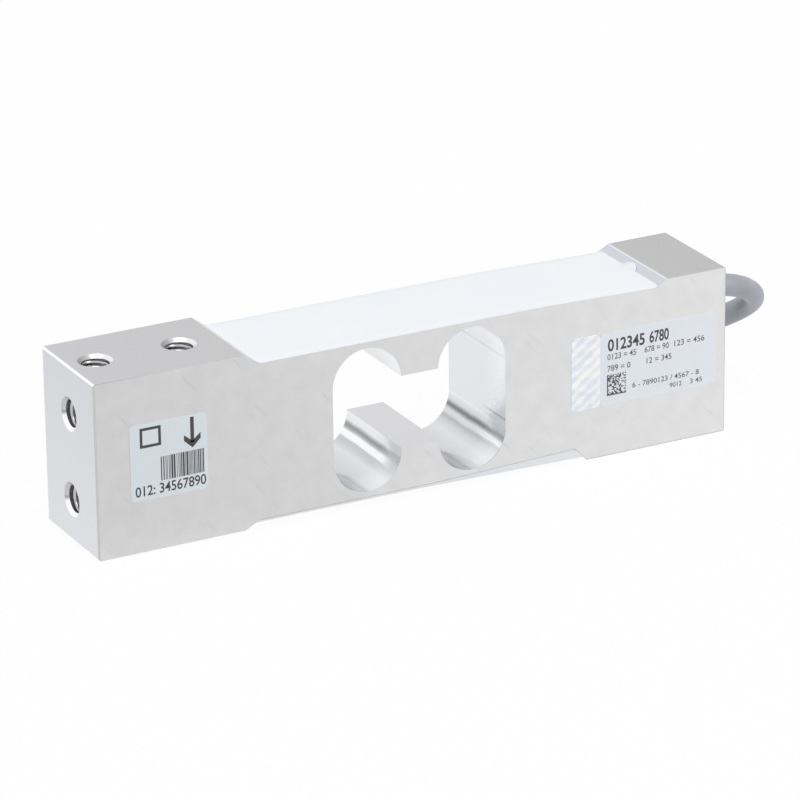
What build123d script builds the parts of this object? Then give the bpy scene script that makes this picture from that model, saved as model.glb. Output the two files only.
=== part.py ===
from build123d import *
import math
import os

os.makedirs("parts", exist_ok=True)

# Single-point weighing load cell: one aluminium block with a binocular window, gauged over its four
# thin places, potted top and bottom, with a cable out of its fixed end. Millimetres throughout.
# The origin is below the middle of the block. +X points to the cable end, +Z up.
# The front, which carries the labels, faces -Y.

# The block
body_length = 150.0
body_width = 25.4
load_top = 39.5
load_underside = 0.5
fixed_end_drop = 1.6
load_pad_top_length = 34.4
load_pad_bottom_length = 33.7
fixed_pad_top_length = 14.85
fixed_pad_bottom_length = 34.5
edge_chamfer = 0.4

# The recesses between the pads, top and bottom
top_recess_depth = 2.4
top_floor_dip = 0.75
top_floor_break_inset = 45.0
load_slope_deg = 36.0
fixed_slope_deg = 30.0
bottom_floor = 2.1
bottom_floor_high = 3.0
bottom_floor_break_x = 5.0
load_bottom_slope_deg = 28.0
fixed_bottom_slope_deg = 45.0
slope_base_radius = 2.5

# The binocular window
eye_radius = 8.05
eye_pitch = 24.9
slot_top_rise = 0.3
slot_bottom_rise = 0.15
flexure = 0.85

# Gauge pockets, which leave the flexure between themselves and the window
gauge_pocket_depth = 0.5
gauge_pocket_half_length = 20.0
gauge_pocket_width = 18.0

# Tapped holes, bored to the major diameter of their M6 thread
thread_diameter = 6.0
thread_mouth = 7.5
row_inset = 6.35
row_pitch = 19.05
end_row_below_middle = 0.45
end_hole_depth = 15.0
base_hole_depth = 15.0
cross_wall = 0.7
drill_point_deg = 118.0

# Cable, its bore, and the wiring shaft that meets the bore
cable_diameter = 5.0
cable_exit_drop = 10.5
bore_diameter = 7.2
cable_grip_length = 14.0
shaft_diameter = 8.0
shaft_inset = 19.8
shaft_floor_gap = 0.4
sleeve_length = 6.0
sleeve_start = 6.0
seal_recess = 0.4

# Board pocket, board and what is on it
board_length = 20.0
board_width = 12.0
board_thickness = 1.0
board_start_inset = 45.0
board_side_gap = 1.0
board_front_gap = 6.0
board_pocket_depth = 5.7
resistor_length = 3.2
resistor_width = 1.6
resistor_height = 0.6
resistor_pitch = 3.4
resistor_front_share = 1.0
resistor_back_share = 1.6

# Passage for the wires of the bottom gauges
passage_board_gap = 2.5
passage_width = 3.0
passage_length = 10.0

# Gauges and their wires
carrier_length = 7.0
carrier_width = 6.0
carrier_thickness = 0.1
foil_thickness = 0.05
grid_length = 3.4
grid_width = 3.3
grid_lines = 6
grid_gap = 0.15
grid_margin = 0.6
neck_length = 0.4
tab_length = 1.1
tab_width = 1.2
tab_offset = 1.2

# Flexible circuits from the gauges to the board: a tongue on each gauge, joined by two arms
flex_thickness = 0.08
flex_tongue_width = 3.8
flex_bar_length = 2.0
flex_bar_gap = 0.5
flex_half_width = 6.2
flex_arm_width = 1.8
flex_tail_width = 8.0
flex_end_gap = 5.0
flex_land_inset = 3.0
flex_land_length = 1.0

# Insulated cores between the cable and the board
core_diameter = 1.1
core_pitch = 1.2
core_clearance = 0.05
core_columns = 3
core_sides = 8
lower_core_setback = 0.2
upper_core_advance = 1.2
lower_pad_inset = 0.6
upper_pad_inset = 9.0
upper_core_rise = 3.1
upper_land_length = 1.5
solder_size = (1.2, 1.1)
solder_height = 0.7
solder_taper_deg = 22.0

# Compound surfaces
top_fill_load_depth = 0.4
top_fill_middle_depth = 0.2
top_fill_middle_inset = 55.0
top_fill_fixed_depth = 0.35
bottom_fill_load = 1.75
bottom_fill_middle = 1.65
bottom_fill_middle_x = 0.0
bottom_fill_fixed = 0.9

# Labels on the front face
label_thickness = 0.1
label_corner = 1.0
serial_size = (17.6, 17.0)
serial_inset = 7.7
serial_bottom = 12.0
rating_size = (28.9, 16.6)
strip_width = 7.0
rating_end_gap = 2.5
rating_bottom = 11.7

# Round bars are swept with this many sides, enough for a part that is drawn at full size
cable_sides = 12

# Free cable. Its loop is chosen by hand, as X and Y from the exit and the fall below it.
# Then it comes down to the hank beside it, as X and fall.
cable_loop = [
    (0.0, 0.0, 0.0),
    (8.1, 0.0, 0.0),
    (18.2, 3.5, 5.9),
    (18.7, 12.0, 12.5),
]
cable_descent = [
    (8.5, 16.4),
    (0.0, 22.5),
]
landing_length = 5.0
route_end_share = 0.9
route_share = 0.45

# The hank: an oval of folds about two middles, its inner turn doubled on a second level
hank_inset = 13.5
hank_length = 18.0
hank_y = 37.0
hank_fold_radius = 15.0
hank_lift = 0.5
hank_corner = 1.2
fold_steps = 9
hank_climb = 4.0
upper_lane_slack = 0.4
tail_way = [
    (0.0, 15.0, 0.0),
    (4.0, 15.0, 0.0),
    (9.5, 13.0, 0.1),
    (14.1, 9.2, -0.8),
    (16.6, 4.9, -2.2),
]
tie_width = 3.5
tie_thickness = 0.5
tie_shift = 2.0
tie_knee = 4.0
lead_count = 7
lead_length = 13.0
lead_straight = 1.5
lead_landing = 8.0
lead_fan_deg = 11.0
tip_length = 4.0
tip_diameter = 0.7

# How far cutters reach past what they cut
cutter_margin = 10.0

# Places that follow from the sizes above
load_end = -body_length / 2
fixed_end = body_length / 2
front = -body_width / 2
fixed_top = load_top - fixed_end_drop
top_floor = load_top - top_recess_depth
top_floor_low = top_floor - top_floor_dip
top_floor_break_x = fixed_end - top_floor_break_inset
end_row_middle_z = load_top / 2 - end_row_below_middle
cable_exit_z = load_top - cable_exit_drop
board_z = top_floor - board_pocket_depth
board_top = board_z + board_thickness
board_start_x = fixed_end - board_start_inset
board_end_x = board_start_x + board_length
passage_x = board_start_x - passage_board_gap
flex_end_x = board_start_x - flex_end_gap
flex_land_x = board_start_x + flex_land_inset
flex_land_end_x = flex_land_x + flex_land_length
shaft_x = fixed_end - shaft_inset
lower_core_x = shaft_x - lower_core_setback
upper_core_x = shaft_x + upper_core_advance
lower_pad_x = board_end_x - lower_pad_inset
upper_pad_x = board_end_x - upper_pad_inset
upper_core_z = board_top + upper_core_rise
resistor_room = upper_pad_x - solder_size[0] - flex_land_end_x - resistor_length
resistor_front_gap = resistor_room * resistor_front_share / (resistor_front_share + resistor_back_share)
resistor_x = flex_land_end_x + resistor_front_gap + resistor_length / 2
top_fill_load = top_floor + top_fill_load_depth
top_fill_middle = top_floor + top_fill_middle_depth
top_fill_middle_x = fixed_end - top_fill_middle_inset
top_fill_fixed = top_floor_low + top_fill_fixed_depth
shaft_floor = cable_exit_z - bore_diameter / 2 - shaft_floor_gap
top_gauge_z = top_floor - gauge_pocket_depth
bottom_gauge_z = bottom_floor + gauge_pocket_depth
upper_eye_z = top_gauge_z - flexure - eye_radius
lower_eye_z = bottom_gauge_z + flexure + eye_radius
slot_top = upper_eye_z + slot_top_rise
slot_bottom = lower_eye_z + slot_bottom_rise
gauge_x = eye_pitch / 2
thread_radius = thread_diameter / 2
core_radius = core_diameter / 2
cable_radius = cable_diameter / 2
upper_end_hole_z = end_row_middle_z + row_pitch / 2
top_hole_depth = load_top - upper_end_hole_z - thread_radius - cross_wall
well_above = load_top + cutter_margin
well_below = -cutter_margin
board_pocket_x = board_start_x - board_front_gap
floor_cable_z = hank_lift + cable_radius
upper_cable_z = floor_cable_z + cable_diameter
hank_west_x = fixed_end - hank_inset
hank_east_x = hank_west_x + hank_length
near_lane_y = hank_y - hank_fold_radius - cable_diameter
cable_route = [(fixed_end + x, y, cable_exit_z - fall) for x, y, fall in cable_loop]
cable_route += [(fixed_end + x, near_lane_y, cable_exit_z - fall) for x, fall in cable_descent]
cable_route += [(hank_west_x + landing_length, near_lane_y, floor_cable_z), (hank_west_x, near_lane_y, floor_cable_z)]
tail_route = [(hank_west_x + x, hank_y + y, upper_cable_z + z) for x, y, z in tail_way]


def run_of(rise, slope_deg):
    """Horizontal run of a slope that climbs by rise."""
    return rise / math.tan(math.radians(slope_deg))


def prism(points, width):
    """Solid of an outline in X and Z, centred on Y."""
    outline = Polyline(*points, close=True)
    return extrude(Plane.XZ * make_face(outline), amount=width / 2, both=True)


def block(low, high):
    """Box between two corners."""
    size = [high[axis] - low[axis] for axis in range(3)]
    middle = [(high[axis] + low[axis]) / 2 for axis in range(3)]
    return Pos(*middle) * Box(*size)


def bent_tube(points, radius, bends):
    """Round bar along straight runs joined by tangent arcs."""
    path = FilletPolyline(*points, radius=bends)
    return sweep(Plane(origin=path @ 0, z_dir=path % 0) * RegularPolygon(radius, cable_sides), path=path)


def kinked_tube(points, radius):
    """Round bar along straight runs with mitred corners."""
    path = Polyline(*points)
    start = Plane(origin=path @ 0, z_dir=path % 0)
    return sweep(start * RegularPolygon(radius, core_sides), path=path, transition=Transition.RIGHT)


def route_radii(points):
    """Largest arc that each corner's two runs allow: an end run may be used up, others are halved."""
    runs = [Vector(*after) - Vector(*before) for before, after in zip(points, points[1:])]
    shares = [route_end_share if index in (0, len(runs) - 1) else route_share for index in range(len(runs))]
    radii = []
    for index in range(len(runs) - 1):
        arriving, leaving = runs[index], runs[index + 1]
        half_turn = math.radians(arriving.get_angle(leaving)) / 2
        room = min(arriving.length * shares[index], leaving.length * shares[index + 1])
        radii.append(room / math.tan(half_turn))
    return radii


def edges_along_y(solid, x, z, tolerance=0.01):
    """Edges of the solid that run along Y through one point in X and Z."""
    found = []
    for edge in solid.edges().filter_by(Axis.Y):
        middle = edge.center()
        if abs(middle.X - x) < tolerance and abs(middle.Z - z) < tolerance:
            found.append(edge)
    return found


# Recesses: outlines that cut the block and that the compound fills
load_top_edge_x = load_end + load_pad_top_length
load_top_base_x = load_top_edge_x + run_of(load_top - top_floor, load_slope_deg)
fixed_top_edge_x = fixed_end - fixed_pad_top_length
fixed_top_base_x = fixed_top_edge_x - run_of(fixed_top - top_floor_low, fixed_slope_deg)
load_bottom_edge_x = load_end + load_pad_bottom_length
load_bottom_base_x = load_bottom_edge_x + run_of(bottom_floor - load_underside, load_bottom_slope_deg)
fixed_bottom_edge_x = fixed_end - fixed_pad_bottom_length
fixed_bottom_base_x = fixed_bottom_edge_x - run_of(bottom_floor_high, fixed_bottom_slope_deg)


def on_load_slope(z):
    return load_top_edge_x + run_of(load_top - z, load_slope_deg)


def on_fixed_slope(z):
    return fixed_top_edge_x - run_of(fixed_top - z, fixed_slope_deg)


def on_load_bottom_slope(z):
    return load_bottom_edge_x + run_of(z - load_underside, load_bottom_slope_deg)


def on_fixed_bottom_slope(z):
    return fixed_bottom_edge_x - run_of(z, fixed_bottom_slope_deg)


def body_outline():
    """Side outline of the block before its recesses are milled."""
    return [
        (load_end, load_underside),
        (load_bottom_edge_x, load_underside),
        (fixed_bottom_edge_x, 0.0),
        (fixed_end, 0.0),
        (fixed_end, fixed_top),
        (fixed_top_edge_x, fixed_top),
        (load_top_edge_x, load_top),
        (load_end, load_top),
    ]


def recess(outline):
    """Milled recess: its second and last but one corners are the rounded feet of its slopes."""
    cut = prism(outline, body_width)
    for x, z in (outline[1], outline[3]):
        cut = fillet(edges_along_y(cut, x, z), slope_base_radius)
    return cut


def top_recess():
    return recess([
        (load_top_edge_x, load_top),
        (load_top_base_x, top_floor),
        (top_floor_break_x, top_floor),
        (fixed_top_base_x, top_floor_low),
        (fixed_top_edge_x, fixed_top),
        (fixed_top_edge_x, well_above),
        (load_top_edge_x, well_above),
    ])


def bottom_recess():
    return recess([
        (load_bottom_edge_x, load_underside),
        (load_bottom_base_x, bottom_floor),
        (bottom_floor_break_x, bottom_floor),
        (fixed_bottom_base_x, bottom_floor_high),
        (fixed_bottom_edge_x, 0.0),
        (fixed_bottom_edge_x, well_below),
        (load_bottom_edge_x, well_below),
    ])


def window():
    """Two upright slots with round ends, joined by a slot between the webs."""
    depth = body_width + cutter_margin
    cut = prism([(-gauge_x, slot_bottom), (gauge_x, slot_bottom), (gauge_x, slot_top), (-gauge_x, slot_top)], depth)
    for x in (-gauge_x, gauge_x):
        for z in (lower_eye_z, upper_eye_z):
            cut += Pos(x, 0, z) * Rot(90, 0, 0) * Cylinder(eye_radius, depth)
        cut += block(
            (x - eye_radius, -depth / 2, lower_eye_z),
            (x + eye_radius, depth / 2, upper_eye_z),
        )
    return cut


def tapped_hole(mouth, inward, depth, point=True):
    """Blind hole with a countersunk mouth; inward is the direction of drilling."""
    countersink = (thread_mouth - thread_diameter) / 2
    seat = Plane(origin=mouth, z_dir=inward)
    outline = [(0, 0), (thread_mouth / 2, 0), (thread_radius, countersink), (thread_radius, depth)]
    if point:
        outline.append((0, depth + run_of(thread_radius, drill_point_deg / 2)))
    else:
        outline.append((0, depth))
    profile = Plane.XZ * make_face(Polyline(*outline, close=True))
    return seat * revolve(profile, Axis.Z)


def top_gauge_pocket():
    half = gauge_pocket_width / 2
    return block((-gauge_pocket_half_length, -half, top_gauge_z), (board_pocket_x, half, well_above))


def bottom_gauge_pocket():
    half = gauge_pocket_width / 2
    reach = gauge_pocket_half_length
    return block((-reach, -half, well_below), (reach, half, bottom_gauge_z))


def board_pocket():
    half = board_width / 2 + board_side_gap
    return block((board_pocket_x, -half, board_z), (shaft_x, half, well_above))


def wiring_shaft():
    height = well_above - shaft_floor
    return Pos(shaft_x, 0, shaft_floor + height / 2) * Cylinder(shaft_diameter / 2, height)


def wire_passage(low, high):
    """Slot through the solid part between the window and the board, between two heights."""
    slot = SlotOverall(passage_length, passage_width, rotation=90)
    return Pos(passage_x, 0, low) * extrude(slot, amount=high - low)


def cable_bore():
    length = fixed_end - shaft_x
    return Pos(shaft_x + length / 2, 0, cable_exit_z) * Rot(0, 90, 0) * Cylinder(bore_diameter / 2, length)


def make_body():
    body = prism(body_outline(), body_width)
    ends = body.faces().sort_by(Axis.X)
    body = chamfer(list(ends[0].edges()) + list(ends[-1].edges()), edge_chamfer)
    cuts = [
        window(),
        top_recess(),
        bottom_recess(),
        top_gauge_pocket(),
        bottom_gauge_pocket(),
        board_pocket(),
        wiring_shaft(),
        wire_passage(well_below, board_z),
        cable_bore(),
    ]
    for step in range(2):
        x = load_end + row_inset + step * row_pitch
        cuts.append(tapped_hole((x, 0, load_top), (0, 0, -1), top_hole_depth, point=False))
        z = end_row_middle_z + (step - 0.5) * row_pitch
        cuts.append(tapped_hole((load_end, 0, z), (1, 0, 0), end_hole_depth))
        x = fixed_end - row_inset - step * row_pitch
        cuts.append(tapped_hole((x, 0, 0), (0, 0, 1), base_hole_depth))
    for cut in cuts:
        body -= cut
    return body


def make_carrier(x, side):
    """Gauge carrier on the pocket floor; side is 1 on top and -1 below."""
    seat = top_gauge_z if side > 0 else bottom_gauge_z
    sheet = extrude(Rectangle(carrier_length, carrier_width), amount=carrier_thickness)
    if side < 0:
        sheet = Pos(0, 0, -carrier_thickness) * sheet
    return Pos(x, 0, seat) * sheet


def make_foil(x, side):
    """Measuring foil: a folded line along X with two tabs towards the cable end."""
    line = (grid_width - (grid_lines - 1) * grid_gap) / grid_lines
    grid_x = -carrier_length / 2 + grid_margin + grid_length / 2
    face = Pos(grid_x, 0) * Rectangle(grid_length, grid_width)
    for index in range(grid_lines - 1):
        y = -grid_width / 2 + (index + 1) * line + (index + 0.5) * grid_gap
        shift = line / 2 if index % 2 else -line / 2
        face -= Pos(grid_x + shift, y) * Rectangle(grid_length - line, grid_gap)
    grid_end = grid_x + grid_length / 2
    for sign in (-1, 1):
        neck = Pos(grid_end + neck_length / 2, sign * (grid_width - line) / 2) * Rectangle(neck_length, line)
        tab = Pos(grid_end + neck_length + tab_length / 2, sign * tab_offset) * Rectangle(tab_length, tab_width)
        face += neck + tab
    foil = extrude(face, amount=foil_thickness)
    if side < 0:
        foil = Pos(0, 0, -foil_thickness) * foil
    seat = top_gauge_z + carrier_thickness if side > 0 else bottom_gauge_z - carrier_thickness
    return Pos(x, 0, seat) * foil


def tab_x(x):
    """Middle of a gauge's tabs."""
    return x - carrier_length / 2 + grid_margin + grid_length + neck_length + tab_length / 2


def strip(points, width, thickness):
    """Thin strip bent along points in X and Z."""
    outline = Plane.XZ * trace(Polyline(*[(x, z) for x, z in points]), line_width=thickness)
    return extrude(outline, amount=width / 2, both=True)


def flex_sheet(side):
    """Flat part of a flexible circuit: it lies on the tabs of both gauges of one side."""
    level = carrier_thickness + foil_thickness
    bottom = top_gauge_z + level if side > 0 else bottom_gauge_z - level - flex_thickness
    load_tongue = tab_x(-gauge_x) - tab_length / 2
    fixed_tongue = tab_x(gauge_x) - tab_length / 2
    load_bar = -gauge_x + carrier_length / 2 + flex_bar_gap
    arm_middle = flex_half_width - flex_arm_width / 2
    areas = [
        (load_tongue, load_bar + flex_bar_length, 0.0, flex_tongue_width),
        (load_bar, load_bar + flex_bar_length, 0.0, 2 * flex_half_width),
        (load_bar, flex_end_x, -arm_middle, flex_arm_width),
        (load_bar, flex_end_x, arm_middle, flex_arm_width),
        (fixed_tongue, flex_end_x, 0.0, flex_tongue_width),
        (flex_end_x - flex_bar_length, flex_end_x, 0.0, 2 * flex_half_width),
    ]
    outline = None
    for low, high, y, width in areas:
        area = Pos((low + high) / 2, y) * Rectangle(high - low, width)
        outline = area if outline is None else outline + area
    return Pos(0, 0, bottom) * extrude(outline, amount=flex_thickness), bottom + flex_thickness / 2


def make_flex(side):
    """Flexible circuit with its tail down or up to the board."""
    sheet, level = flex_sheet(side)
    landing = board_top + flex_thickness / 2
    if side > 0:
        tail = [(flex_end_x, level), (flex_land_x, landing), (flex_land_end_x, landing)]
    else:
        tail = [(flex_end_x, level), (passage_x, level), (passage_x, landing),
                (board_start_x + flex_land_length, landing)]
    return sheet + strip(tail, flex_tail_width, flex_thickness)


def core_places():
    """Row and sideways place of each core, three above three."""
    places = []
    for row in (0, 1):
        for column in range(core_columns):
            places.append((row, (column - 1) * core_pitch))
    return places


def make_core(row, y):
    """Insulated core from the cable's end, up the shaft and onto the board."""
    start_z = cable_exit_z + (row - 0.5) * core_pitch
    start_x = fixed_end - cable_grip_length
    landing = board_top + core_clearance + core_radius
    if row == 0:
        points = [
            (start_x, y, start_z),
            (lower_core_x, y, start_z),
            (lower_core_x, y, landing),
            (lower_pad_x, y, landing),
        ]
    else:
        points = [
            (start_x, y, start_z),
            (upper_core_x, y, start_z),
            (upper_core_x, y, upper_core_z),
            (upper_pad_x + upper_land_length, y, landing),
            (upper_pad_x, y, landing),
        ]
    return kinked_tube(points, core_radius)


def make_solder():
    """Solder in front of each core's end, on the board."""
    length, width = solder_size
    joints = []
    for row, y in core_places():
        x = lower_pad_x if row == 0 else upper_pad_x
        foot = Pos(x - length / 2, y, board_top) * Rectangle(length, width)
        joints.append(extrude(foot, amount=solder_height, taper=solder_taper_deg))
    return joints


def make_board():
    return block((board_start_x, -board_width / 2, board_z), (board_end_x, board_width / 2, board_top))


def make_resistor(index):
    y = (index - 1) * resistor_pitch
    return Pos(resistor_x, y, board_top + resistor_height / 2) * Box(resistor_length, resistor_width, resistor_height)


def cable_rod(start, length, radius):
    """Round bar in the cable's bore; start is measured inward from the cable face."""
    middle = fixed_end - start - length / 2
    return Pos(middle, 0, cable_exit_z) * Rot(0, 90, 0) * Cylinder(radius, length)


def make_sleeve():
    return cable_rod(sleeve_start, sleeve_length, bore_diameter / 2) - cable_rod(0, cable_grip_length, cable_radius)


def make_seal():
    length = sleeve_start - seal_recess
    return cable_rod(seal_recess, length, bore_diameter / 2) - cable_rod(0, cable_grip_length, cable_radius)


def make_top_fill(inner):
    """Compound in the top recess, its pockets and the shaft, cast round what is inside."""
    below_surface = prism([
        (load_end, 0.0),
        (fixed_end, 0.0),
        (fixed_end, top_fill_fixed),
        (on_fixed_slope(top_fill_fixed), top_fill_fixed),
        (top_fill_middle_x, top_fill_middle),
        (on_load_slope(top_fill_load), top_fill_load),
        (load_end, top_fill_load),
    ], body_width)
    fill = top_recess() + top_gauge_pocket() + board_pocket() + wiring_shaft()
    fill += wire_passage(bottom_floor_high, board_z)
    fill &= below_surface
    fill += cable_rod(sleeve_start + sleeve_length, fixed_end - shaft_x - sleeve_start - sleeve_length, bore_diameter / 2)
    for piece in inner:
        fill -= piece
    return fill


def make_bottom_fill(inner):
    above_surface = prism([
        (load_end, bottom_fill_load),
        (on_load_bottom_slope(bottom_fill_load), bottom_fill_load),
        (bottom_fill_middle_x, bottom_fill_middle),
        (on_fixed_bottom_slope(bottom_fill_fixed), bottom_fill_fixed),
        (fixed_end, bottom_fill_fixed),
        (fixed_end, top_floor),
        (load_end, top_floor),
    ], body_width)
    fill = bottom_recess() + bottom_gauge_pocket() + wire_passage(well_below, bottom_floor_high)
    fill &= above_surface
    for piece in inner:
        fill -= piece
    return fill


def label(size, left, bottom, corner=label_corner):
    """Thin plate on the front face."""
    width, height = size
    sheet = extrude(Plane.XZ * RectangleRounded(width, height, corner), amount=label_thickness)
    return Pos(left + width / 2, front, bottom + height / 2) * sheet


def lane(width, level):
    """Cross-section of the hank's strands that lie side by side, centred on the outermost edge."""
    height = cable_diameter
    corner = hank_corner
    half = width / 2
    low = hank_lift + level * height
    return Polyline(
        (-half + corner, low), (half - corner, low), (half, low + corner), (half, low + height - corner),
        (half - corner, low + height), (-half + corner, low + height), (-half, low + height - corner),
        (-half, low + corner), close=True)


def fold(x, y, radius, width, level, side):
    """Half ring about a middle, in mitred steps; radius is its outer edge's, side is 1 for east."""
    middle = radius - width / 2
    step = math.pi / fold_steps
    points = [(x, y - middle)]
    for index in range(fold_steps):
        angle = (index + 0.5) * step - math.pi / 2
        reach = middle / math.cos(step / 2)
        points.append((x + side * reach * math.cos(angle), y + reach * math.sin(angle)))
    points.append((x, y + middle))
    start = Plane(origin=(*points[0], 0), x_dir=(0, side, 0), z_dir=(side, 0, 0))
    return sweep(start * make_face(lane(width, level)), path=Polyline(*points), transition=Transition.RIGHT)


def run(y, width, level):
    """Straight strands between the two middles."""
    section = Plane.YZ * Pos(y, 0) * make_face(lane(width, level))
    return Pos(hank_west_x, 0, 0) * extrude(section, amount=hank_east_x - hank_west_x)


def make_hank():
    """Outer shape of the put-away cable: one turn outside another, and a third on the inner one."""
    outer = hank_fold_radius + 1.5 * cable_diameter
    inner = hank_fold_radius + 0.5 * cable_diameter
    east_y = hank_y + cable_radius
    hank = fold(hank_west_x, hank_y, outer, 2 * cable_diameter, 0, -1)
    hank += fold(hank_east_x, east_y, inner + cable_radius, cable_diameter, 0, 1)
    hank += run(hank_y + outer - cable_diameter, 2 * cable_diameter, 0)
    hank += run(hank_y - hank_fold_radius, cable_diameter, 0)
    upper_width = cable_diameter - upper_lane_slack
    upper = inner - upper_lane_slack / 2
    hank += fold(hank_west_x, hank_y, upper, upper_width, 1, -1)
    hank += fold(hank_east_x, hank_y, upper, upper_width, 1, 1)
    hank += run(hank_y - hank_fold_radius, upper_width, 1)
    level = hank_lift + cable_diameter
    climb = prism([(hank_east_x - hank_climb, level), (hank_east_x, level), (hank_east_x, level + cable_diameter)],
                  upper_width - 2 * hank_corner)
    return hank + Pos(0, hank_y + hank_fold_radius, 0) * climb


def make_tie():
    """Strap round the strands of the hank's near run and the cable that comes down beside them."""
    middle = hank_y - hank_fold_radius
    near = middle - 1.5 * cable_diameter
    far = middle + cable_radius
    top = hank_lift + 2 * cable_diameter
    bundle = make_face(Polyline(
        (near, hank_lift), (far, hank_lift), (far, top), (middle - cable_radius, top), (near, hank_lift + tie_knee),
        close=True))
    band = offset(bundle, amount=tie_thickness) - bundle
    return Pos(hank_west_x + tie_shift - tie_width / 2, 0, 0) * extrude(Plane.YZ * band, amount=tie_width)


def make_tail():
    return bent_tube(tail_route, cable_radius, route_radii(tail_route))


def lead_places():
    """Place of each lead in the cable's end, sideways and up, in the order in which they fan out."""
    places = [(core_pitch * math.cos(math.radians(60 * index)), core_pitch * math.sin(math.radians(60 * index)))
              for index in range(lead_count - 1)]
    return sorted(places + [(0.0, 0.0)], key=lambda place: (round(place[0], 3), place[1]))


def lead_points(index):
    """From the cable's end down to the surface: start, bend, landing, end of insulation, tip."""
    end = Vector(*tail_route[-1])
    along = (end - Vector(*tail_route[-2])).normalized()
    ahead = Vector(along.X, along.Y, 0).normalized()
    sideways = Vector(-ahead.Y, ahead.X, 0)
    across = along.cross(sideways)
    side, height = lead_places()[index]
    fan = math.radians((index - (lead_count - 1) / 2) * lead_fan_deg)
    heading = ahead * math.cos(fan) + sideways * math.sin(fan)
    start = end + sideways * side + across * height
    ground = Vector(end.X, end.Y, core_radius)
    return [
        start,
        start + along * lead_straight,
        ground + heading * lead_landing,
        ground + heading * (lead_length - tip_length),
        ground + heading * lead_length,
    ]


def make_lead(index):
    return kinked_tube(lead_points(index)[:4], core_radius)


def make_tip(index):
    return kinked_tube(lead_points(index)[3:], tip_diameter / 2)


inner_cores = [make_core(row, y) for row, y in core_places()]
flex_top = make_flex(1)
flex_bottom = make_flex(-1)
board = make_board()
solder = make_solder()
resistors = [make_resistor(index) for index in range(3)]
cable_inner = cable_rod(0, cable_grip_length, cable_radius)
gauges = {}
for end_name, x in (("load", -gauge_x), ("fixed", gauge_x)):
    for side_name, side in (("top", 1), ("bottom", -1)):
        gauges[f"gauge_carrier_{side_name}_{end_name}"] = (side, make_carrier(x, side))
        gauges[f"gauge_foil_{side_name}_{end_name}"] = (side, make_foil(x, side))

under_top = [piece for side, piece in gauges.values() if side > 0]
under_top += inner_cores + [flex_top, flex_bottom, board, cable_inner] + solder + resistors
under_bottom = [piece for side, piece in gauges.values() if side < 0] + [flex_bottom]

nodes = {
    "spring_body": make_body(),
    "top_potting": make_top_fill(under_top),
    "bottom_potting": make_bottom_fill(under_bottom),
    "terminal_board": board,
    "solder_joints": Compound(children=solder),
    "span_resistor": resistors[0],
    "zero_resistor": resistors[1],
    "input_resistor": resistors[2],
    "flex_top": flex_top,
    "flex_bottom": flex_bottom,
    "cable_inner": cable_inner,
    "clamp_sleeve": make_sleeve(),
    "cable_seal": make_seal(),
    "serial_label": label(serial_size, load_end + serial_inset, serial_bottom),
    "rating_label": label(rating_size, fixed_end - rating_end_gap - rating_size[0], rating_bottom),
    "security_strip": label((strip_width, rating_size[1]), fixed_end - rating_end_gap - rating_size[0] - strip_width,
                            rating_bottom),
    "cable_jacket": bent_tube(cable_route, cable_radius, route_radii(cable_route)),
    "cable_hank": make_hank(),
    "hank_tie": make_tie(),
    "cable_tail": make_tail(),
    "lead_ends": Compound(children=[make_lead(index) for index in range(lead_count)]),
    "lead_tips": Compound(children=[make_tip(index) for index in range(lead_count)]),
}
for name, (side, piece) in gauges.items():
    nodes[name] = piece
for index, core in enumerate(inner_cores):
    nodes[f"inner_core_{index + 1}"] = core

for name, solid in nodes.items():
    export_step(solid, f"parts/{name}.step")

for title, route in (("cable", cable_route), ("tail", tail_route)):
    print(title, "arc radii:", [round(radius, 1) for radius in route_radii(route)])
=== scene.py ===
import math
import random

import bmesh
import bpy
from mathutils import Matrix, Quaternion, Vector


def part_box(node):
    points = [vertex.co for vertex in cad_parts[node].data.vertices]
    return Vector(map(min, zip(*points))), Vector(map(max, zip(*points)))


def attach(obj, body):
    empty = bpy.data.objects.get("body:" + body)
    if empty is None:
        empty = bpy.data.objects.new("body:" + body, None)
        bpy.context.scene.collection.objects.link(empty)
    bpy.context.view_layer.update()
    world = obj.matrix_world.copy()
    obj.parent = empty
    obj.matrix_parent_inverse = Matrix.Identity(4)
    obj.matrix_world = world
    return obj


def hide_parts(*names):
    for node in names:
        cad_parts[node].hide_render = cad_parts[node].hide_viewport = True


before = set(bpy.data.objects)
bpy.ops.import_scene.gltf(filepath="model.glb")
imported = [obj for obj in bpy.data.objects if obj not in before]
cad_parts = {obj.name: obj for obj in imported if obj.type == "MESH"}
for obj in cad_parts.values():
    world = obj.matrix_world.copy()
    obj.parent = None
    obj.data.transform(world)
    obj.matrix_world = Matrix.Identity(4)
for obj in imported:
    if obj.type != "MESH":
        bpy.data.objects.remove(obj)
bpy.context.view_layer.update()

MM = 0.001
BODY = "root"
BLACK = (0.0, 0.0, 0.0)
WHITE = (1.0, 1.0, 1.0)

# Camera, fitted to the block's corners in the photograph
CAMERA_PLACE = Vector((-0.4824, -0.9295, 0.4329))
CAMERA_TURN = Quaternion((0.80235, 0.54643, -0.13031, -0.20165))
CAMERA_LENS = 238.4
CAMERA_SENSOR = 36.0
CAMERA_REACH = 20.0

# Surroundings; each lamp has a place, a target, a size in metres and a power in watts
FLOOR_SIZE = 6.0
FLOOR_DROP = 0.00002
FLOOR_COLOUR = (0.9, 0.9, 0.9)
FLOOR_ROUGHNESS = 0.9
FLOOR_GLOW = 0.96
WORLD_LEVEL = 0.55
BACKGROUND_LEVEL = 1.0
LAMPS = {
    "lamp_above": ((-0.3, -0.5, 1.6), (0, 0, 0), 1.4, 11.0),
    "lamp_front": ((0.9, -1.4, 0.8), (0, 0, 0.02), 1.0, 6.0),
}

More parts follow.
